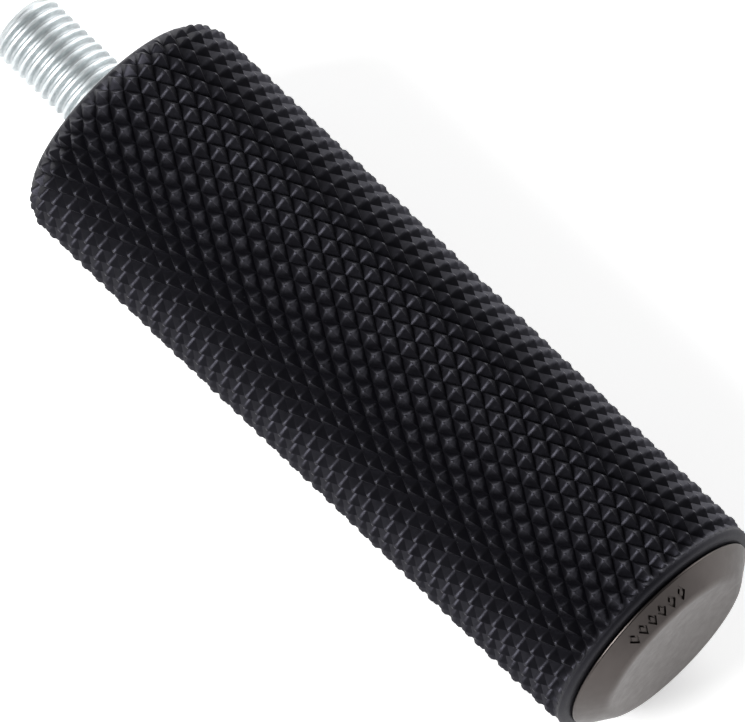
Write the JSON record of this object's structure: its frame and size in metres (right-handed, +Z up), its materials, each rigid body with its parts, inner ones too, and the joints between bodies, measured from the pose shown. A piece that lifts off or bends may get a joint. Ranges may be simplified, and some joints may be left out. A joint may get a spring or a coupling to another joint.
{
  "type": "foot peg",
  "caption": "Rigid round foot peg: threaded mounting stud, black rubber sleeve with a raised diamond grip and rounded shoulder, satin metal end cap with a bevelled rim.",
  "frame": {"origin": "on the peg's axis, in the outer face of the shoulder washer, where the peg bears on its lever", "axes": "+X along the peg's axis, from the lever towards the end cap; +Z up, with the peg lying level"},
  "size_m": [0.0934, 0.0266, 0.0266],
  "materials": {
    "zinc_steel": "bright zinc plated",
    "plain_steel": "oiled",
    "core_aluminium": "as machined",
    "grip_rubber": "satin moulded",
    "seal_rubber": "matte",
    "cap_metal": "satin titanium grey"
  },
  "bodies": {
    "root": {"mounting_stud": "zinc_steel", "stud_lock_pin": "plain_steel", "shoulder_washer": "zinc_steel", "core_barrel": "core_aluminium", "grip_sleeve": "grip_rubber", "cap_seal_ring": "seal_rubber", "end_cap": "cap_metal", "cap_screw": "plain_steel", "cap_lock_washer": "plain_steel", "cap_dowel": "plain_steel"}
  },
  "joints": []
}
